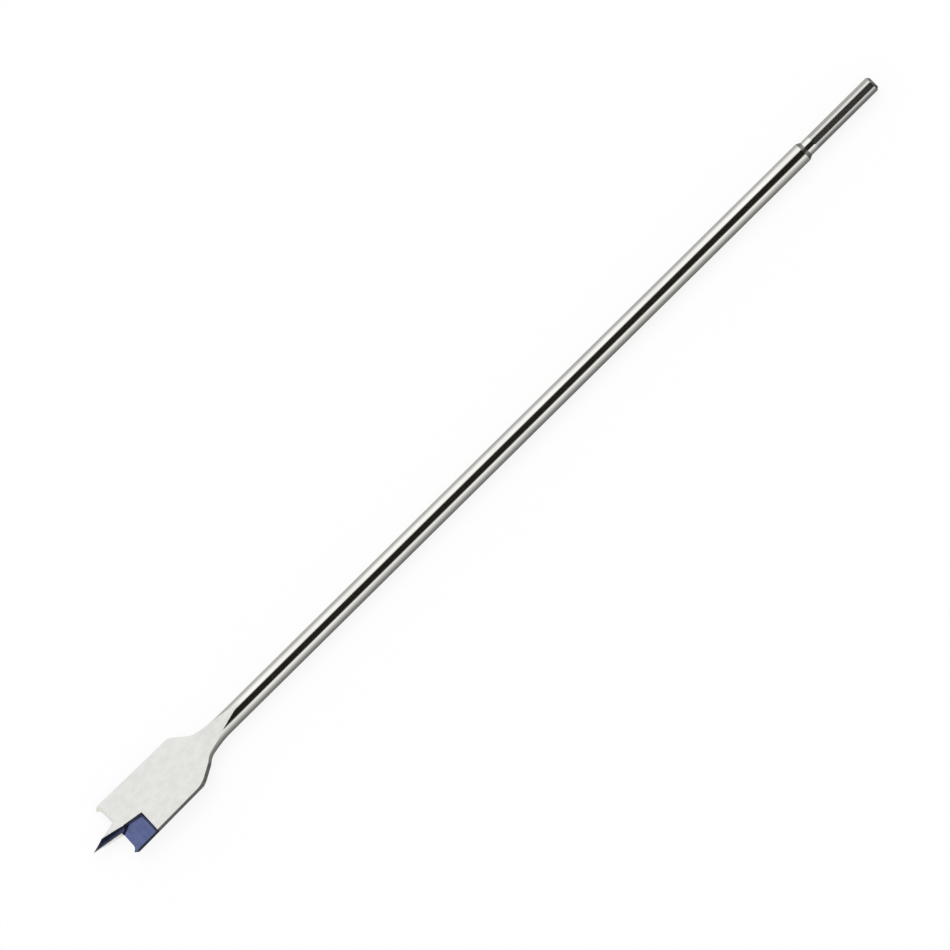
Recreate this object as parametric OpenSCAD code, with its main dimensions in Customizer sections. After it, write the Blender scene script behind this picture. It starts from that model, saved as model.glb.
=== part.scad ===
// Spade drill bit, one forged and ground piece of steel, lying as it comes to rest:
// the round shaft and one edge of the blade touch the surface at z = 0.
// The axis runs along X, with the point at -X and the shank at +X.

/* [Overall] */
// Length from the tip of the point to the end of the shank
overall_l = 406.4; // [300:0.1:500]
// Diameter of the round shaft
shaft_d = 8; // [7:0.1:9.5]

/* [Shank] */
// Length of the thinner shank, from the foot of the shoulder to its end
shank_l = 35.2; // [25:0.1:45]
// Diameter of the round stock of the shank
shank_d = 6.35; // [6.2:0.05:6.8]
// Distance across two opposite drive flats
flats_af = 5.95; // [5.6:0.05:6.1]
// Length of the round neck between the shoulder and the flats
neck_l = 3.2; // [1:0.1:6]
// Length over which a flat rises to the round neck
flat_rise_l = 0.6; // [0.2:0.1:2]
// Turn of the drive flats about the axis, from the blade's face
flats_turn = 30; // [0:1:60]
// Length of the conical shoulder between shaft and shank
shoulder_l = 1.6; // [0.5:0.1:4]
// Length of the cone at the shank's end
end_cone_l = 1; // [0.5:0.1:4]
// Drop in radius over the cone at the shank's end
end_cone_drop = 0.9; // [0.3:0.1:2]

/* [Blade outline] */
// Diameter of the hole that the blade cuts
cut_d = 25.4; // [22:0.1:32]
// Thickness of the blade
blade_t = 3.2; // [2.6:0.1:4]
// Distance from the tip to where the straight sides end
side_end = 46.4; // [42:0.1:60]
// Angle by which each side draws in toward the shank
back_taper = 0.8; // [0.2:0.1:1.5]
// Angle by which each side falls away behind its leading edge
side_relief = 7; // [2:0.5:12]
// Radius of the tighter shoulder of the blade
shoulder_r = 7; // [5:0.5:9]
// Steepest angle of the shoulders to the axis
shoulder_slope = 42; // [36:1:50]
// Distance from the tip to where the rounder shoulder starts, on the other side
round_start = 43.6; // [41:0.1:45]
// Radius of the rounder shoulder
round_r = 12; // [10:0.5:14]
// Angle to the axis at which the rounder shoulder leaves the side
round_lead = 3; // [2:0.5:5]
// Angle by which the rounder shoulder is less steep than the tighter one
round_ease = 10; // [8:1:14]
// Radius of the tight part of the throat, behind the shoulders
throat_r = 7; // [4:0.5:9]
// Radius of the long flare between throat and shaft
flare_r = 41; // [30:1:60]
// Angle to the axis at which the throat meets the flare
flare_slope = 14; // [8:1:20]

/* [Blade faces] */
// Distance from the tip to where the flat faces end
flat_end = 57.2; // [50:0.1:70]
// Hollow radius where a face starts to rise
rise_hollow_r = 30; // [20:1:60]
// Crown radius where a face runs out on the shaft
rise_crown_r = 60; // [30:1:90]

/* [Point, lips and spurs] */
// Length of the centre point, from the lips to the tip
point_l = 12.7; // [9:0.1:15]
// Half of the point's width where it meets the lips
point_half_w = 2.9; // [2.4:0.05:3.8]
// Angle by which a lip falls away behind its cutting edge
lip_relief = 23; // [12:1:32]
// Height of a spur above its lip
spur_h = 1.3; // [0.6:0.1:2.2]
// Width of a spur at its top
spur_w = 0.5; // [0.3:0.1:1.5]
// Radius of the hollow between lip and spur
spur_r = 2.5; // [2.3:0.1:4]

// Thickness that is left at the tip of the point
tip_t = 0.35; // [0.2:0.05:0.8]
// Radius of the hollow that is ground along each edge of the point
hollow_r = 3; // [2.5:0.1:5]
// Distance past the axis that the hollow reaches at the tip
hollow_reach = 2.4; // [1.6:0.1:2.8]
// Depth of the point's edge below the face, at the lips
edge_drop = 0.45; // [0.2:0.05:0.8]

/* [Ground pockets] */
// Depth of a pocket at the outer end of its lip
pocket_depth = 0.35; // [0.2:0.05:0.9]
// Angle by which a pocket's floor deepens behind the lip
rake = 2.5; // [0:0.5:6]
// Angle by which a pocket's floor deepens toward the axis
dip = 3.2; // [0:0.1:5]
// Length of a pocket along the face, from the lip to its end
pocket_l = 10.6; // [9:0.1:15]
// Radius of the hollow at a pocket's end
pocket_end_r = 1.4; // [1.3:0.1:3]
// Slope of the wall between the ridge and a pocket's floor
wall_slope = 56; // [40:1:70]
// Turn of the ridge beside a pocket, from the axis
ridge_turn = 10.5; // [8:0.1:14]
// Distance of the ridge from the axis at the lips
ridge_offset = 0.64; // [0.3:0.02:1]
// Slope of the step from the point's hollow down to a pocket's floor
step_slope = 33; // [25:1:45]
// Length of that step along the axis, from the lip
step_l = 2.8; // [2:0.1:5]

/* [Hidden] */
$fn = 96;
// Steps along each drawn arc
arc_steps = 10;
// Reach of a cutter past the steel
clear = 4;
// Reach of the rounder shoulder's cut past the slope where it runs out
past = 0.5;

shaft_r = shaft_d / 2;
shank_r = shank_d / 2;
cut_r = cut_d / 2;
half_t = blade_t / 2;
shank_x = overall_l - shank_l;
flats_x = shank_x + neck_l;

// Points of an arc, where an angle of 0 is at the largest y of the circle and 90 at its largest x
function arc(centre, r, from, to) = [
    for (i = [0 : arc_steps])
        let (a = from + (to - from) * i / arc_steps)
            centre + r * [sin(a), cos(a)]
];

// Radius of the blade's side at a distance x from the tip
function side_radius(x) = cut_r - (x - point_l) * tan(back_taper);

// Outline of the blade from its straight side to the shaft, as [distance from the tip, radius]
shoulder_c = [side_end, side_radius(side_end)] - shoulder_r * [sin(back_taper), cos(back_taper)];
shoulder_foot = shoulder_c + shoulder_r * [sin(shoulder_slope), cos(shoulder_slope)];
throat_c_r = shaft_r + flare_r - (flare_r - throat_r) * cos(flare_slope);
throat_top_r = throat_c_r - throat_r * cos(shoulder_slope);
throat_top_x = shoulder_foot[0] + (shoulder_foot[1] - throat_top_r) / tan(shoulder_slope);
throat_c = [throat_top_x + throat_r * sin(shoulder_slope), throat_c_r];
flare_c = [throat_c[0] + (flare_r - throat_r) * sin(flare_slope), shaft_r + flare_r];

// Rise of a face from the flat blade to the top of the shaft
rise_h = shaft_r - half_t;
rise_l = sqrt(2 * rise_h * (rise_hollow_r + rise_crown_r) - rise_h * rise_h);
rise_turn = asin(rise_l / (rise_hollow_r + rise_crown_r));

// Roll at rest: the corner just behind a pocket comes down to the level of the shaft's underside
rest_corner_r = side_radius(point_l + pocket_l);
rest_roll = asin(shaft_r / rest_corner_r) - asin(half_t / rest_corner_r);

// Round stock of the whole bit, along Z from the tip
module turned_blank() {
    shoulder = arc(shoulder_c, shoulder_r, back_taper, shoulder_slope);
    throat = arc(throat_c, throat_r, 180 + shoulder_slope, 180 + flare_slope);
    flare = arc(flare_c, flare_r, 180 + flare_slope, 180);
    outline = concat(
        [[0, 0], [0, side_radius(0)]],
        shoulder,
        throat,
        [for (i = [1 : arc_steps]) flare[i]],
        [
            [shank_x - shoulder_l, shaft_r],
            [shank_x, shank_r],
            [overall_l - end_cone_l, shank_r],
            [overall_l, shank_r - end_cone_drop],
            [overall_l, 0],
        ]
    );
    rotate_extrude()
        polygon([for (p = outline) [p[1], p[0]]]);
}

// Everything above the front face, from the tip to where the face runs out on the shaft
module face_cut() {
    hollow = arc([flat_end, half_t + rise_hollow_r], rise_hollow_r, 180, 180 - rise_turn);
    crown_c = [flat_end + rise_l, shaft_r - rise_crown_r];
    crown = arc(crown_c, rise_crown_r, -rise_turn, 0);
    top = shaft_r + cut_r;
    rotate([90, 0, 0])
        linear_extrude(cut_d + 2 * clear, center = true)
            polygon(concat(
                [[-clear, top], [-clear, half_t]],
                hollow,
                [for (i = [1 : arc_steps]) crown[i]],
                [[flat_end + rise_l, top]]
            ));
}

// One drive flat, on the upper side of the shank
module drive_flat() {
    rotate([90, 0, 0])
        linear_extrude(2 * shank_d, center = true)
            polygon([
                [flats_x, shank_r],
                [flats_x + flat_rise_l, flats_af / 2],
                [overall_l + clear, flats_af / 2],
                [overall_l + clear, shank_d],
                [flats_x, shank_d],
            ]);
}

// Clearance behind the leading edge of one side
module side_cut() {
    edge_y = sqrt(cut_r * cut_r - half_t * half_t);
    translate([point_l, -edge_y, half_t])
        rotate([side_relief, 0, back_taper])
            translate([-point_l - clear, -clear, -blade_t - clear])
                cube([side_end + shoulder_r + clear, clear, blade_t + 2 * clear]);
}

// Rounder shoulder on one side, cut through the blade and running out on the slope below
module round_cut() {
    start = [round_start, side_radius(round_start)];
    end_slope = shoulder_slope - round_ease;
    centre = start - round_r * [sin(round_lead), cos(round_lead)];
    foot = centre + round_r * [sin(end_slope), cos(end_slope)];
    gap = shoulder_foot - foot;
    run_l = (gap[0] * sin(shoulder_slope) + gap[1] * cos(shoulder_slope)) / sin(round_ease) + past;
    outer_r = cut_r + clear;
    outline = concat(
        [[start[0] - clear, outer_r], start + clear * [-cos(round_lead), sin(round_lead)]],
        arc(centre, round_r, round_lead, end_slope),
        [foot + run_l * [cos(end_slope), -sin(end_slope)], [foot[0] + run_l * cos(end_slope), outer_r]]
    );
    linear_extrude(cut_d, center = true)
        polygon([for (p = outline) [p[0], -p[1]]]);
}

// Everything beyond one half's lip, spur and edge of the point, sloping back behind the cutting edge
module end_cut() {
    squash = cos(lip_relief);
    edge_z = half_t - pocket_depth;
    tip_back = edge_z * tan(lip_relief);
    edge_turn = atan(point_half_w / (point_l + tip_back));
    reach = point_l + tip_back + clear;
    spur_x = spur_h * squash;
    spur_turn = acos(1 - spur_x / spur_r);
    hollow_y = cut_r - spur_w - spur_r * sin(spur_turn);
    hollow = arc([-spur_r, hollow_y], spur_r, 90, 90 - spur_turn);
    outline = concat(
        [[-reach * squash, -clear * tan(edge_turn)], [0, point_half_w]],
        hollow,
        [[-spur_x, cut_r + clear], [-reach * squash, cut_r + clear]]
    );
    translate([point_l, 0, edge_z])
        rotate([0, -lip_relief, 0])
            linear_extrude(4 * (reach + blade_t), center = true)
                polygon([for (p = outline) [p[0], -p[1]]]);
}

// Centre of a hollow's circle through two points of its section, as [distance outward, height above the face]
function hollow_centre(a, b) =
    let (chord = b - a, half = norm(chord) / 2)
        (a + b) / 2 + [-chord[1], chord[0]] / norm(chord) * sqrt(hollow_r * hollow_r - half * half);

tip_c = hollow_centre([-hollow_reach, 0], [0, tip_t / 2 - half_t]);
lip_c = hollow_centre([ridge_offset, 0], [point_half_w, -edge_drop]);

// Hollow along one edge of the point, deepest at the tip and running out behind the lips
module point_hollow() {
    outward = lip_c[0] - tip_c[0];
    tilt = atan((lip_c[1] - tip_c[1]) / norm([point_l, outward]));
    run_out_l = (hollow_r - tip_c[1]) / sin(tilt);
    translate([0, -tip_c[0], half_t + tip_c[1]])
        rotate([0, 90 - tilt, -atan(outward / point_l)])
            translate([0, 0, -clear])
                cylinder(r = hollow_r, h = run_out_l + 2 * clear);
}

// Distance of the ridge from the axis, at a distance x past the lips
function ridge(x) = ridge_offset + x * tan(ridge_turn);

// Everything above a plane that falls outward from a line on the face, through the ridge at x past the lips
module above_slope(x, turn, slope) {
    reach = 2 * cut_d;
    translate([point_l + x, -ridge(x), half_t])
        rotate([slope, 0, turn])
            translate([-reach, -reach, 0])
                cube([2 * reach, reach + clear, reach]);
}

// Everything above one pocket's floor, with a hollow at the pocket's end
module above_floor() {
    end_x = pocket_l * cos(rake) - pocket_depth * sin(rake);
    end_z = pocket_l * sin(rake) + pocket_depth * cos(rake);
    rise = min(end_z, pocket_end_r);
    hollow_x = end_x - sqrt(rise * (2 * pocket_end_r - rise));
    top = blade_t + clear;
    translate([point_l, -cut_r, half_t - pocket_depth])
        rotate([-dip, 0, 0])
            rotate([90, rake, 0])
                linear_extrude(2 * cut_d, center = true)
                    polygon(concat(
                        [[-clear, top], [-clear, 0]],
                        arc([hollow_x, pocket_end_r], pocket_end_r, 180, 90),
                        [[hollow_x + pocket_end_r, top]]
                    ));
}

// Ground pocket behind one lip, open at the lip and at the side
module pocket_cut() {
    intersection() {
        above_floor();
        above_slope(0, -ridge_turn, wall_slope);
        above_slope(step_l, atan((point_half_w - ridge(step_l)) / step_l), step_slope);
    }
}

// The bit in line with X, face up, with the tip at the origin
module bit() {
    difference() {
        rotate([0, 90, 0])
            turned_blank();
        for (turn = [0, 180])
            rotate([turn, 0, 0]) {
                face_cut();
                side_cut();
                end_cut();
                point_hollow();
                pocket_cut();
            }
        round_cut();
        for (i = [0 : 5])
            rotate([flats_turn + 60 * i, 0, 0])
                drive_flat();
    }
}

module spade_bit() {
    color([0.82, 0.82, 0.8])
        translate([-overall_l / 2, 0, shaft_r])
            rotate([-rest_roll, 0, 0])
                bit();
}

spade_bit();
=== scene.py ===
from math import asin, atan, acos, atan2, cos, degrees, hypot, pi, radians, sin, sqrt, tan

import bmesh
import bpy
from mathutils import Euler, Matrix, Vector


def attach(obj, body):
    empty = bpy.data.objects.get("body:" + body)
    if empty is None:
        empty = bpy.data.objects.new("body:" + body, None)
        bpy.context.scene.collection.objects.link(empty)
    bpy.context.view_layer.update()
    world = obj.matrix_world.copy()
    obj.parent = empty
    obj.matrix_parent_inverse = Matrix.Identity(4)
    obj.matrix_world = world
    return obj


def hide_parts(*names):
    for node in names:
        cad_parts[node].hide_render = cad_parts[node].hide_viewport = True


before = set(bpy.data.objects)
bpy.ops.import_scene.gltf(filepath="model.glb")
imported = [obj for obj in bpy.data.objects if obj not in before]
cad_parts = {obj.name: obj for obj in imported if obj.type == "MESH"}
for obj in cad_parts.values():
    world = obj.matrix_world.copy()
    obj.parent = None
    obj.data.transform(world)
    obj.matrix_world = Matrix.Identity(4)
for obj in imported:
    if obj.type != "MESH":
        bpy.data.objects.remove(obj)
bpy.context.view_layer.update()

scene = bpy.context.scene
scene.view_settings.view_transform = "Standard"


class Wire:  # a socket that can be used in sums
    def __init__(self, tree, socket):
        self.tree = tree
        self.socket = socket

    def math(self, operation, other=None, flip=False):
        node = self.tree.nodes.new("ShaderNodeMath")
        node.operation = operation
        pair = (other, self) if flip else (self, other)
        for slot, value in zip(node.inputs, pair):
            plug(self.tree, slot, value)
        return Wire(self.tree, node.outputs[0])

    def __add__(self, other):
        return self.math("ADD", other)

    def __radd__(self, other):
        return self.math("ADD", other, True)

    def __sub__(self, other):
        return self.math("SUBTRACT", other)

    def __rsub__(self, other):
        return self.math("SUBTRACT", other, True)

    def __mul__(self, other):
        return self.math("MULTIPLY", other)

    def __rmul__(self, other):
        return self.math("MULTIPLY", other, True)


def plug(tree, slot, value):
    if isinstance(value, Wire):
        tree.links.new(value.socket, slot)
    elif value is not None:
        slot.default_value = value


class Bench:  # a node tree that is filled one node at a time
    def __init__(self, tree):
        self.tree = tree
        tree.nodes.clear()

    def add(self, kind, settings=None, sockets=None, out=0):
        node = self.tree.nodes.new(kind)
        for key, value in (settings or {}).items():
            setattr(node, key, value)
        for key, value in (sockets or {}).items():
            plug(self.tree, node.inputs[key], value)
        return Wire(self.tree, node.outputs[out]) if node.outputs else None

    def noise(self, place, stretch, detail=3.0, rough=0.55):
        spread = self.add("ShaderNodeMapping", None, {"Vector": place, "Scale": stretch})
        return self.add("ShaderNodeTexNoise", None, {
            "Vector": spread, "Scale": 1.0, "Detail": detail, "Roughness": rough})

    def ease(self, value, low, high, start=0.0, end=1.0, way="SMOOTHSTEP"):
        return self.add("ShaderNodeMapRange", {"interpolation_type": way}, {
            "Value": value, "From Min": low, "From Max": high, "To Min": start, "To Max": end})

    def axis(self, place, i):
        return self.add("ShaderNodeSeparateXYZ", None, {"Vector": place}, i)

    def bump(self, look, height):
        return self.add("ShaderNodeBump", None, {
            "Strength": look["bump"], "Distance": look["bumpDepth"], "Height": height})

    def blend(self, share, first, second):
        return self.add("ShaderNodeMix", {"data_type": "RGBA"}, {0: share, 6: first, 7: second}, 2)


def newFinish(name):
    material = bpy.data.materials.new(name)
    material.use_nodes = True
    bench = Bench(material.node_tree)
    place = bench.add("ShaderNodeTexCoord", None, None, 3)  # Object coordinates, in metres
    return material, bench, place


def closeFinish(bench, sockets):
    shader = bench.add("ShaderNodeBsdfPrincipled", None, sockets)
    bench.add("ShaderNodeOutputMaterial", None, {"Surface": shader})


# Finishes of the steel: noise scales are per metre, lengths are in metres
tipAt = -0.2032       # the bit's tip along X
fineDetail = 4.0      # noise detail of turning marks and grinding strokes

polishedLook = {
    "light": (0.90, 0.895, 0.87, 1), "deep": (0.81, 0.805, 0.78, 1), "patches": (0.38, 0.72),
    "rings": (2600, 45, 45), "cloud": (40, 140, 140), "bump": 0.025, "bumpDepth": 0.00004,
    "rough": 0.10, "roughSwing": 0.05,
    "drawnFrom": 0.3744, "drawnTo": 0.3752,                     # from the tip, where the shank's neck ends
    "drawnTone": (0.72, 0.715, 0.69, 1), "drawnRough": 0.18,    # past there, roughness added
}


def polishedSteel(look):
    material, bench, place = newFinish("polished_steel")
    rings = bench.noise(place, look["rings"], fineDetail)       # turning marks round the bar
    cloud = bench.noise(place, look["cloud"])
    drawn = bench.ease(bench.axis(place, 0), tipAt + look["drawnFrom"], tipAt + look["drawnTo"])
    bright = bench.blend(bench.ease(cloud, *look["patches"]), look["light"], look["deep"])
    closeFinish(bench, {
        "Base Color": bench.blend(drawn, bright, look["drawnTone"]), "Metallic": 1.0,
        "Roughness": look["rough"] + look["roughSwing"] * rings * cloud + look["drawnRough"] * drawn,
        "Normal": bench.bump(look, rings)})
    return material


satinLook = {
    "light": (0.735, 0.74, 0.71, 1), "deep": (0.69, 0.695, 0.668, 1), "patches": (0.36, 0.68),
    "strokes": (900, 70, 900), "cloud": (300, 420, 420), "cloudGrit": 0.6,
    "bump": 0.08, "bumpDepth": 0.00004, "cloudLift": 0.6,
    "rough": 0.33, "strokeSwing": 0.12, "cloudSwing": 0.10,
    "metal": 0.7,         # under 1, so that the ground face never mirrors fully dark
}


def satinSteel(look):
    material, bench, place = newFinish("satin_steel")
    strokes = bench.noise(place, look["strokes"], fineDetail)   # grinding strokes across the blade
    cloud = bench.noise(place, look["cloud"], fineDetail, look["cloudGrit"])
    rough = look["rough"] + look["strokeSwing"] * (strokes - 0.5) + look["cloudSwing"] * (cloud - 0.5)
    closeFinish(bench, {
        "Base Color": bench.blend(bench.ease(cloud, *look["patches"]), look["light"], look["deep"]),
        "Metallic": look["metal"], "Roughness": rough,
        "Normal": bench.bump(look, strokes + look["cloudLift"] * cloud)})
    return material


groundMarks = {"patches": (0.34, 0.66), "bump": 0.12, "bumpDepth": 0.00005, "roughSwing": 0.12}
# ground sides: the steel tone is partly its own and partly painted shade, darker than the faces
sideToneAndShadeLook = {
    **groundMarks, "light": (0.50, 0.50, 0.475, 1), "deep": (0.34, 0.34, 0.32, 1), "rough": 0.36,
    "strokes": (1500, 300, 60), "cloud": (260, 260, 260),
    "lacquer": (0.045, 0.054, 0.125, 1), "lacquerEnd": 0.0233,  # the lacquer's tone is the blue in painted shade; it lies on the front end, from the tip
    "lacquerSoft": 0.0003, "lacquerSwing": 0.0006,
}
turnedLook = {
    **groundMarks, "light": (0.34, 0.34, 0.32, 1), "deep": (0.22, 0.22, 0.21, 1), "rough": 0.30,
    "strokes": (2600, 45, 45),
}
lipLook = {
    **groundMarks, "light": (0.97, 0.97, 0.955, 1), "deep": (0.91, 0.91, 0.895, 1), "rough": 0.62,
    "strokes": (900, 120, 900),
}


def groundSteel(name, look):
    material, bench, place = newFinish(name)
    strokes = bench.noise(place, look["strokes"], fineDetail)
    tone = bench.blend(bench.ease(strokes, *look["patches"]), look["light"], look["deep"])
    if "lacquer" in look:
        cloud = bench.noise(place, look["cloud"])
        edge, soft = tipAt + look["lacquerEnd"], look["lacquerSoft"]
        along = bench.axis(place, 0) + look["lacquerSwing"] * (cloud - 0.5)
        tone = bench.blend(bench.ease(along, edge - soft, edge + soft), look["lacquer"], tone)
    closeFinish(bench, {
        "Base Color": tone, "Metallic": 1.0, "Normal": bench.bump(look, strokes),
        "Roughness": look["rough"] + look["roughSwing"] * (strokes - 0.5)})
    return material


lacquerMarks = {
    "strokes": (650, 90, 650), "cloud": (330, 330, 330), "strokeShare": 0.6, "patches": (0.36, 0.66),
    "bump": 0.08, "bumpDepth": 0.00005, "roughSwing": 0.14, "metal": 0.85, "coat": 0.35, "coatRough": 0.22,
}
blueLook = {**lacquerMarks, "light": (0.105, 0.130, 0.29, 1), "deep": (0.075, 0.096, 0.225, 1), "rough": 0.34}
# painted shade: a darker copy of the blue lacquer, for the pocket walls, the pocket's upturned end, the
# hollow ground point and the lacquered sides
lacquerShadeLook = {**lacquerMarks, "light": sideToneAndShadeLook["lacquer"], "deep": (0.024, 0.030, 0.072, 1), "rough": 0.42}


def blueLacquer(name, look):
    material, bench, place = newFinish(name)
    strokes = bench.noise(place, look["strokes"], fineDetail)   # grinding strokes under the lacquer
    cloud = bench.noise(place, look["cloud"])
    wear = look["strokeShare"] * strokes + (1 - look["strokeShare"]) * cloud
    closeFinish(bench, {
        "Base Color": bench.blend(bench.ease(wear, *look["patches"]), look["light"], look["deep"]),
        "Metallic": look["metal"], "Coat Weight": look["coat"], "Coat Roughness": look["coatRough"],
        "Roughness": look["rough"] + look["roughSwing"] * (cloud - 0.5), "Normal": bench.bump(look, strokes)})
    return material


finishes = [
    polishedSteel(polishedLook),
    satinSteel(satinLook),
    groundSteel("ground_side_and_shade", sideToneAndShadeLook),
    groundSteel("turned_end", turnedLook),
    groundSteel("ground_lip", lipLook),
    blueLacquer("blue_lacquer", blueLook),
    blueLacquer("lacquer_painted_shade", lacquerShadeLook),
]
polished, satin, side, turned, lip, blue, navy = range(len(finishes))
print("finishes", [m.name for m in finishes])

# The bit, in mm and degrees, with its tip at the origin and its axis along X
bit = {
    "overallLength": 406.4, "shaftD": 8.0,
    "shankLength": 35.2, "shankD": 6.35, "neckLength": 3.2,
    "flatsAcross": 5.95, "flatRise": 0.6, "flatsTurn": 30.0,
    "shoulderCone": 1.6, "endCone": 1.0, "endConeDrop": 0.9,
    "cutD": 25.4, "bladeT": 3.2, "sideEnd": 46.4, "backTaper": 0.8, "sideRelief": 7.0,
    "shoulderR": 7.0, "shoulderSlope": 42.0,
    "roundStart": 43.6, "roundR": 12.0, "roundLead": 3.0, "roundEase": 10.0, "roundPast": 0.5,
    "throatR": 7.0, "flareR": 41.0, "flareSlope": 14.0,
    "flatEnd": 57.2, "riseHollowR": 30.0, "riseCrownR": 60.0,
    "pointLength": 12.7, "pointHalfW": 2.9, "lipRelief": 23.0, "spurH": 1.3, "spurW": 0.5, "spurR": 2.5,
    "tipT": 0.35, "hollowR": 3.0, "hollowReach": 2.4, "edgeDrop": 0.45,
    "pocketDepth": 0.35, "rake": 2.5, "dip": 3.2, "pocketLength": 10.6, "pocketEndR": 1.4,
    "wallSlope": 56.0, "ridgeTurn": 10.5, "ridgeOffset": 0.64, "stepSlope": 33.0, "stepLength": 2.8,
    "clear": 4.0, "barSides": 160, "arcSteps": 28, "sharpAbove": 10.0,
    "turnedAbove": 0.4, "navyAbove": 0.2,        # lengthwise lean of a face, from which it takes that finish (for the lacquer, its painted shade)
    "mergeBlank": 0.0005, "mergeBit": 0.0008, "thinEdge": 0.0005, "planeNear": 0.00001,
}
shaftR = bit["shaftD"] / 2
shankR = bit["shankD"] / 2
cutR = bit["cutD"] / 2
halfT = bit["bladeT"] / 2


def dsin(a):
    return sin(radians(a))


def dcos(a):
    return cos(radians(a))


def dtan(a):
    return tan(radians(a))


def arcPoints(centre, radius, start, end):  # 0 degrees at the largest y of the circle, 90 at its largest x
    turns = [start + (end - start) * i / bit["arcSteps"] for i in range(bit["arcSteps"] + 1)]
    return [(centre[0] + radius * dsin(a), centre[1] + radius * dcos(a)) for a in turns]


def move(x, y, z):
    return Matrix.Translation((x, y, z))


def turn(x, y, z):
    return Euler((radians(x), radians(y), radians(z)), "XYZ").to_matrix().to_4x4()


def sideRadius(x):
    return cutR - (x - bit["pointLength"]) * dtan(bit["backTaper"])


def shoulderFoot():
    taper, radius, slope = bit["backTaper"], bit["shoulderR"], bit["shoulderSlope"]
    centre = (bit["sideEnd"] - radius * dsin(taper), sideRadius(bit["sideEnd"]) - radius * dcos(taper))
    return centre, (centre[0] + radius * dsin(slope), centre[1] + radius * dcos(slope))


def turnedBlank():
    slope, flareSlope = bit["shoulderSlope"], bit["flareSlope"]
    throatR, flareR = bit["throatR"], bit["flareR"]
    shoulderC, foot = shoulderFoot()
    throatY = shaftR + flareR - (flareR - throatR) * dcos(flareSlope)
    throatTop = throatY - throatR * dcos(slope)
    throatX = foot[0] + (foot[1] - throatTop) / dtan(slope) + throatR * dsin(slope)
    flareC = (throatX + (flareR - throatR) * dsin(flareSlope), shaftR + flareR)
    length = bit["overallLength"]
    shankX = length - bit["shankLength"]
    outline = [(0, 0), (0, sideRadius(0))]
    outline += arcPoints(shoulderC, bit["shoulderR"], bit["backTaper"], slope)
    outline += arcPoints((throatX, throatY), throatR, 180 + slope, 180 + flareSlope)
    outline += arcPoints(flareC, flareR, 180 + flareSlope, 180)[1:]
    outline += [
        (shankX - bit["shoulderCone"], shaftR), (shankX, shankR),
        (length - bit["endCone"], shankR), (length, shankR - bit["endConeDrop"]), (length, 0)]
    bm = bmesh.new()
    verts = [bm.verts.new((x, 0, r)) for x, r in outline]
    edges = [bm.edges.new(pair) for pair in zip(verts, verts[1:])]
    bmesh.ops.spin(bm, geom=verts + edges, cent=(0, 0, 0), axis=(1, 0, 0), dvec=(0, 0, 0), angle=2 * pi,
                   steps=bit["barSides"], use_merge=True)
    bmesh.ops.remove_doubles(bm, verts=bm.verts, dist=bit["mergeBlank"])
    bmesh.ops.recalc_face_normals(bm, faces=bm.faces)
    return bm


def prism(points, height, matrix, finish):  # an outline in XY, pulled up about its middle, then placed
    bm = bmesh.new()
    base = bm.faces.new([bm.verts.new((x, y, -height / 2)) for x, y in points])
    pulled = bmesh.ops.extrude_face_region(bm, geom=[base])["geom"]
    top = [v for v in pulled if isinstance(v, bmesh.types.BMVert)]
    bmesh.ops.translate(bm, verts=top, vec=(0, 0, height))
    bmesh.ops.holes_fill(bm, edges=[e for e in bm.edges if e.is_boundary], sides=0)
    bmesh.ops.transform(bm, matrix=matrix, verts=bm.verts)
    bmesh.ops.recalc_face_normals(bm, faces=bm.faces)
    for face in bm.faces:
        face.material_index = finish
    return bm


def faceCutter():
    hollowR, crownR, flatEnd = bit["riseHollowR"], bit["riseCrownR"], bit["flatEnd"]
    rise = shaftR - halfT
    run = sqrt(2 * rise * (hollowR + crownR) - rise * rise)
    bend = degrees(asin(run / (hollowR + crownR)))
    top = shaftR + cutR
    outline = [(-bit["clear"], top), (-bit["clear"], halfT)]
    outline += arcPoints((flatEnd, halfT + hollowR), hollowR, 180, 180 - bend)
    outline += arcPoints((flatEnd + run, shaftR - crownR), crownR, -bend, 0)[1:]
    outline += [(flatEnd + run, top)]
    return prism(outline, bit["cutD"] + 2 * bit["clear"], turn(90, 0, 0), satin)


def flatCutter(i):
    start = bit["overallLength"] - bit["shankLength"] + bit["neckLength"]
    end = bit["overallLength"] + bit["clear"]
    flatZ = bit["flatsAcross"] / 2
    outline = [(start, shankR), (start + bit["flatRise"], flatZ), (end, flatZ),
               (end, bit["shankD"]), (start, bit["shankD"])]
    matrix = turn(bit["flatsTurn"] + 60 * i, 0, 0) @ turn(90, 0, 0)
    return prism(outline, 2 * bit["shankD"], matrix, polished)


def sideCutter():
    reach = bit["clear"]
    length = bit["sideEnd"] + bit["shoulderR"] + reach
    edgeY = sqrt(cutR * cutR - halfT * halfT)
    bm = bmesh.new()
    bmesh.ops.create_cube(bm, size=1.0)
    bmesh.ops.scale(bm, vec=(length, reach, bit["bladeT"] + 2 * reach), verts=bm.verts)
    bmesh.ops.translate(bm, vec=(length / 2 - bit["pointLength"] - reach, -reach / 2, -halfT), verts=bm.verts)
    matrix = move(bit["pointLength"], -edgeY, halfT) @ turn(bit["sideRelief"], 0, bit["backTaper"])
    bmesh.ops.transform(bm, matrix=matrix, verts=bm.verts)
    for face in bm.faces:
        face.material_index = side
    return bm


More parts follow.
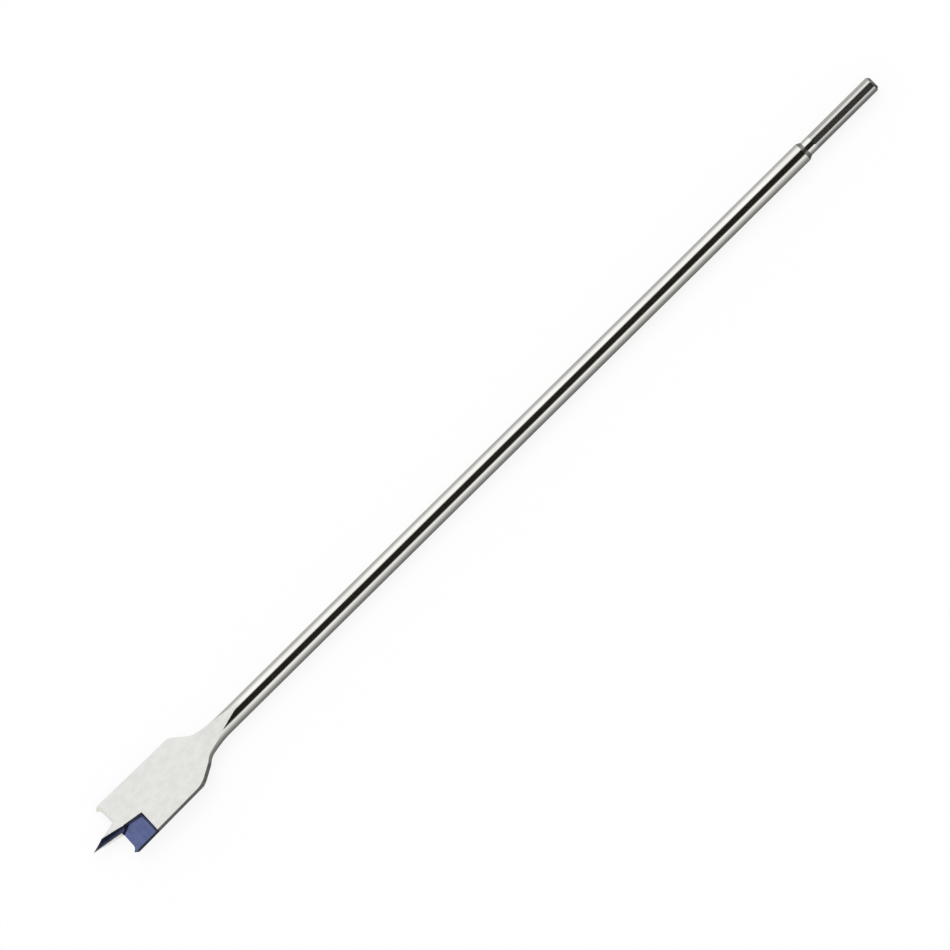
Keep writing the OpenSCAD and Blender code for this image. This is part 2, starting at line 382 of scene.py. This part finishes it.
def roundCutter():
    lead, radius, reach = bit["roundLead"], bit["roundR"], bit["clear"]
    slope = bit["shoulderSlope"]
    endSlope = slope - bit["roundEase"]
    start = (bit["roundStart"], sideRadius(bit["roundStart"]))
    centre = (start[0] - radius * dsin(lead), start[1] - radius * dcos(lead))
    foot = (centre[0] + radius * dsin(endSlope), centre[1] + radius * dcos(endSlope))
    corner = shoulderFoot()[1]
    gap = (corner[0] - foot[0]) * dsin(slope) + (corner[1] - foot[1]) * dcos(slope)
    run = gap / dsin(bit["roundEase"]) + bit["roundPast"]
    endX = foot[0] + run * dcos(endSlope)
    outline = [(start[0] - reach, cutR + reach)]
    outline += [(start[0] - reach * dcos(lead), start[1] + reach * dsin(lead))]
    outline += arcPoints(centre, radius, lead, endSlope)
    outline += [(endX, foot[1] - run * dsin(endSlope)), (endX, cutR + reach)]
    return prism([(x, -r) for x, r in outline], bit["cutD"], Matrix.Identity(4), side)


def endCutter():
    relief, spurR = bit["lipRelief"], bit["spurR"]
    squash = dcos(relief)
    edgeZ = halfT - bit["pocketDepth"]
    tipBack = edgeZ * dtan(relief)
    edgeTurn = atan(bit["pointHalfW"] / (bit["pointLength"] + tipBack))
    reach = bit["pointLength"] + tipBack + bit["clear"]
    spurX = bit["spurH"] * squash
    spurTurn = degrees(acos(1 - spurX / spurR))
    hollowY = cutR - bit["spurW"] - spurR * dsin(spurTurn)
    outline = [(-reach * squash, -bit["clear"] * tan(edgeTurn)), (0, bit["pointHalfW"])]
    outline += arcPoints((-spurR, hollowY), spurR, 90, 90 - spurTurn)
    outline += [(-spurX, cutR + bit["clear"]), (-reach * squash, cutR + bit["clear"])]
    matrix = move(bit["pointLength"], 0, edgeZ) @ turn(0, -relief, 0)
    return prism([(x, -y) for x, y in outline], 4 * (reach + bit["bladeT"]), matrix, lip)


def hollowCentre(a, b):
    chord = Vector(b) - Vector(a)
    normal = Vector((-chord.y, chord.x)).normalized()
    return (Vector(a) + Vector(b)) / 2 + normal * sqrt(bit["hollowR"] ** 2 - (chord.length / 2) ** 2)


def hollowCutter():
    radius, reach = bit["hollowR"], bit["clear"]
    atTip = hollowCentre((-bit["hollowReach"], 0), (0, bit["tipT"] / 2 - halfT))
    atLip = hollowCentre((bit["ridgeOffset"], 0), (bit["pointHalfW"], -bit["edgeDrop"]))
    outward = atLip.x - atTip.x
    tilt = atan2(atLip.y - atTip.y, hypot(bit["pointLength"], outward))
    length = (radius - atTip.y) / sin(tilt) + 2 * reach
    bm = bmesh.new()
    bmesh.ops.create_cone(
        bm, cap_ends=True, segments=bit["barSides"], radius1=radius, radius2=radius, depth=length)
    bmesh.ops.translate(bm, vec=(0, 0, length / 2 - reach), verts=bm.verts)
    swing = degrees(atan2(outward, bit["pointLength"]))
    matrix = move(0, -atTip.x, halfT + atTip.y) @ turn(0, 90 - degrees(tilt), -swing)
    bmesh.ops.transform(bm, matrix=matrix, verts=bm.verts)
    # the hollow ground point takes the lacquer's painted shade, a darker copy of the blue
    for face in bm.faces:
        face.material_index = navy
    return bm


def ridge(x):
    return bit["ridgeOffset"] + x * dtan(bit["ridgeTurn"])


def pocketCutter():
    rake, radius, reach = bit["rake"], bit["pocketEndR"], bit["clear"]
    endX = bit["pocketLength"] * dcos(rake) - bit["pocketDepth"] * dsin(rake)
    endZ = bit["pocketLength"] * dsin(rake) + bit["pocketDepth"] * dcos(rake)
    rise = min(endZ, radius)
    hollowX = endX - sqrt(rise * (2 * radius - rise))
    top = bit["bladeT"] + reach
    outline = [(-reach, top), (-reach, 0)]
    outline += arcPoints((hollowX, radius), radius, 180, 90) + [(hollowX + radius, top)]
    corner = move(bit["pointLength"], -cutR, halfT - bit["pocketDepth"])
    matrix = corner @ turn(-bit["dip"], 0, 0) @ turn(90, rake, 0)
    bm = prism(outline, 2 * bit["cutD"], matrix, blue)
    stepTurn = degrees(atan((bit["pointHalfW"] - ridge(bit["stepLength"])) / bit["stepLength"]))
    planes = [(0, -bit["ridgeTurn"], bit["wallSlope"]), (bit["stepLength"], stepTurn, bit["stepSlope"])]
    for x, spin, slope in planes:
        bmesh.ops.bisect_plane(
            bm, geom=bm.verts[:] + bm.edges[:] + bm.faces[:], dist=bit["planeNear"], clear_inner=True,
            plane_co=(bit["pointLength"] + x, -ridge(x), halfT),
            plane_no=turn(slope, 0, spin) @ Vector((0, 0, 1)))
        walls = bmesh.ops.holes_fill(bm, edges=[e for e in bm.edges if e.is_boundary], sides=0)["faces"]
        # the pocket walls take the lacquer's painted shade, a darker copy of the blue
        for face in walls:
            face.material_index = navy
    bmesh.ops.recalc_face_normals(bm, faces=bm.faces)
    for face in bm.faces:  # the hollow at the end takes the walls' painted shade too, from where it turns up
        if face.normal.x > bit["navyAbove"]:
            face.material_index = navy
    return bm


def holdMesh(bm, name):
    mesh = bpy.data.meshes.new(name)
    bm.to_mesh(mesh)
    bm.free()
    for material in finishes:
        mesh.materials.append(material)
    piece = bpy.data.objects.new(name, mesh)
    scene.collection.objects.link(piece)
    return piece


def cutBit():
    blank = holdMesh(turnedBlank(), "blank")
    cutters = []
    for half in (0, 180):
        for makeCutter in (faceCutter, sideCutter, endCutter, hollowCutter, pocketCutter):
            bm = makeCutter()
            bmesh.ops.transform(bm, matrix=turn(half, 0, 0), verts=bm.verts)
            cutters.append(holdMesh(bm, makeCutter.__name__))
    cutters.append(holdMesh(roundCutter(), "roundCutter"))
    cutters += [holdMesh(flatCutter(i), "flatCutter") for i in range(6)]
    for cutter in cutters:
        cut = blank.modifiers.new(cutter.name, "BOOLEAN")
        cut.operation = "DIFFERENCE"
        cut.solver = "EXACT"
        cut.object = cutter
    solid = blank.evaluated_get(bpy.context.evaluated_depsgraph_get())
    bm = bmesh.new()
    bm.from_mesh(solid.to_mesh())
    solid.to_mesh_clear()
    for spare in cutters + [blank]:
        mesh = spare.data
        bpy.data.objects.remove(spare)
        bpy.data.meshes.remove(mesh)
    return bm


def layDown(bm):  # roll until the corner behind a pocket comes down beside the shaft, then to metres
    cornerR = sideRadius(bit["pointLength"] + bit["pocketLength"])
    roll = degrees(asin(shaftR / cornerR) - asin(halfT / cornerR))
    place = Matrix.Scale(0.001, 4) @ move(-bit["overallLength"] / 2, 0, shaftR) @ turn(-roll, 0, 0)
    bmesh.ops.transform(bm, matrix=place, verts=bm.verts)


bm = cutBit()
bmesh.ops.remove_doubles(bm, verts=bm.verts, dist=bit["mergeBit"])
bmesh.ops.dissolve_degenerate(bm, edges=bm.edges, dist=bit["thinEdge"])
bmesh.ops.recalc_face_normals(bm, faces=bm.faces)
loose = [e for e in bm.edges if not e.is_manifold]
print("bit cut", len(bm.faces), "faces,", len(loose), "open edges, volume mm3", round(bm.calc_volume(), 1))
shoulderX = bit["overallLength"] - bit["shankLength"] - bit["shoulderCone"]
for face in bm.faces:  # the shoulder and the shank's end are as turned, not polished
    if face.normal.x > bit["turnedAbove"] and face.calc_center_median().x > shoulderX:
        face.material_index = turned
layDown(bm)
sharp = radians(bit["sharpAbove"])
for edge in bm.edges:
    kinds = {face.material_index for face in edge.link_faces}
    edge.smooth = len(kinds) == 1 and edge.calc_face_angle(0.0) < sharp
for face in bm.faces:
    face.smooth = True
bitPiece = holdMesh(bm, "bit_steel")
even = bitPiece.modifiers.new("even_normals", "WEIGHTED_NORMAL")
even.keep_sharp = True
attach(bitPiece, "root")
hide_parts("spade_bit")
print("bit placed", len(bitPiece.data.polygons), "faces")

# Floor, light and camera
stage = {
    "floorSize": 8.0, "floorCells": 4, "floorColour": (0.86, 0.86, 0.855, 1),
    "cameraShare": 0.85, "glossShare": 0.6, "glossGlow": 0.17,     # how much of the floor glows, by ray
    "dimWidth": 0.045, "dimEdge": 0.006, "dimMost": 0.9,           # painted shadow in the floor's reflection, beside the bit, away from the key light
    "dimShare": 0.3, "dimGlow": 0.03,
    "frontFrom": -0.1925, "frontTo": -0.1895, "frontGlow": 0.95,   # painted light in the floor's reflection: before the lips the floor glows bright
    "skyLevel": 0.9, "bright": 1.07, "dark": 0.012, "lowSky": 0.5, "fadeFrom": 50.0, "fadeTo": 95.0,
    "darkFrom": -17.5, "darkTo": 52.0, "darkSoft": 8.0,            # degrees from vertical, toward -Y
    "white": (1, 1, 1, 1), "warmGloss": (1.0, 0.965, 0.89, 1), "warmDark": (1.0, 0.94, 0.72, 1),
    "keyEnergy": 0.9, "keySpread": 50.0, "keyLean": -28.0, "keySwing": 14.0,
}


def rayKinds(bench):
    camera = bench.add("ShaderNodeLightPath", None, None, 0)
    gloss = bench.add("ShaderNodeLightPath", None, None, 3)
    through = bench.add("ShaderNodeLightPath", None, None, 6)
    return camera, gloss.math("MAXIMUM", through)


def paleFloor(look):
    material = bpy.data.materials.new("pale_floor")
    material.use_nodes = True
    bench = Bench(material.node_tree)
    camera, gloss = rayKinds(bench)
    matt = bench.add("ShaderNodeBsdfDiffuse", None, {"Color": look["floorColour"]})
    place = bench.add("ShaderNodeTexCoord", None, None, 3)
    along, across = bench.axis(place, 0), bench.axis(place, 1)
    # painted light that only reflections see: the floor glows brighter in front of the lips
    front = bench.ease(along, look["frontFrom"], look["frontTo"], 1.0, 0.0)
    # painted shadow that only reflections see: the floor glows less beside the bit, away from the key light
    beside = bench.ease(across, -look["dimWidth"], 0.0, 0.0, look["dimMost"], "LINEAR")
    paintedShadow = beside * bench.ease(across, 0.0, look["dimEdge"], 1.0, 0.0)
    shadowedGlossGlow = look["glossGlow"] + (look["dimGlow"] - look["glossGlow"]) * paintedShadow
    glossGlow = shadowedGlossGlow + front * (look["frontGlow"] - shadowedGlossGlow)
    tint = bench.blend(gloss, look["white"], look["warmGloss"])
    glow = bench.add("ShaderNodeEmission", None, {"Color": tint, "Strength": camera + gloss * glossGlow})
    share = look["cameraShare"] * camera + gloss * (look["glossShare"] + look["dimShare"] * paintedShadow)
    mixed = bench.add("ShaderNodeMixShader", None, {0: share, 1: matt, 2: glow})
    bench.add("ShaderNodeOutputMaterial", None, {"Surface": mixed})
    return material


def studioSky(look):
    world = bpy.data.worlds.new("studio")
    scene.world = world
    world.use_nodes = True
    bench = Bench(world.node_tree)
    camera, gloss = rayKinds(bench)
    way = bench.add("ShaderNodeTexCoord", None, None, 0)
    across, height = bench.axis(way, 1), bench.axis(way, 2)
    lean = (-1 * across).math("ARCTAN2", height)
    soft = look["darkSoft"]
    into = bench.ease(lean, radians(look["darkFrom"] - soft), radians(look["darkFrom"] + soft))
    beyond = bench.ease(lean, radians(look["darkTo"] - soft), radians(look["darkTo"] + soft))
    lowFrom, lowTo = radians(look["fadeFrom"]), radians(look["fadeTo"])
    fade = bench.ease(lean.math("ABSOLUTE"), lowFrom, lowTo, 1.0, look["lowSky"])
    covered = into * (1 - beyond)
    panels = look["bright"] * fade * (1 - covered) + look["dark"] * covered
    light = gloss * panels + (1 - gloss) * look["skyLevel"]
    level = camera + (1 - camera) * light
    tint = bench.blend(gloss * covered, look["white"], look["warmDark"])
    glow = bench.add("ShaderNodeBackground", None, {"Color": tint, "Strength": level})
    bench.add("ShaderNodeOutputWorld", None, {"Surface": glow})


bm = bmesh.new()
bmesh.ops.create_grid(
    bm, x_segments=stage["floorCells"], y_segments=stage["floorCells"], size=stage["floorSize"] / 2)
floorMesh = bpy.data.meshes.new("floor")
bm.to_mesh(floorMesh)
bm.free()
floorMesh.materials.append(paleFloor(stage))
floor = bpy.data.objects.new("floor", floorMesh)
scene.collection.objects.link(floor)
studioSky(stage)

key = bpy.data.lights.new("key", "SUN")
key.energy = stage["keyEnergy"]
key.angle = radians(stage["keySpread"])
keyLamp = bpy.data.objects.new("key", key)
keyLamp.rotation_euler = Euler((radians(stage["keyLean"]), radians(stage["keySwing"]), 0))
keyLamp.visible_glossy = False
scene.collection.objects.link(keyLamp)
print("stage set")

view = {
    "aim": (-0.00414, 0.0, 0.004), "aimRise": 0.00035,   # rise: from the axis toward the picture's upper left
    "elevation": 73.3, "roll": 44.674, "distance": 6.0, "width": 0.352, "sensor": 36.0, "clipEnd": 50.0,
}
toCamera = Vector((0, -dcos(view["elevation"]), dsin(view["elevation"])))
upright = Vector((0, dsin(view["elevation"]), dcos(view["elevation"])))
acrossPic = dcos(view["roll"]) * Vector((1, 0, 0)) - dsin(view["roll"]) * upright
upPic = dsin(view["roll"]) * Vector((1, 0, 0)) + dcos(view["roll"]) * upright
spot = Vector(view["aim"]) + view["aimRise"] * upright + view["distance"] * toCamera
lens = bpy.data.cameras.new("camera")
lens.sensor_width = view["sensor"]
lens.lens = view["sensor"] * view["distance"] / view["width"]
lens.clip_end = view["clipEnd"]
camera = bpy.data.objects.new("camera", lens)
camera.matrix_world = Matrix((
    (acrossPic.x, upPic.x, toCamera.x, spot.x),
    (acrossPic.y, upPic.y, toCamera.y, spot.y),
    (acrossPic.z, upPic.z, toCamera.z, spot.z),
    (0, 0, 0, 1)))
scene.collection.objects.link(camera)
scene.camera = camera
print("camera set")
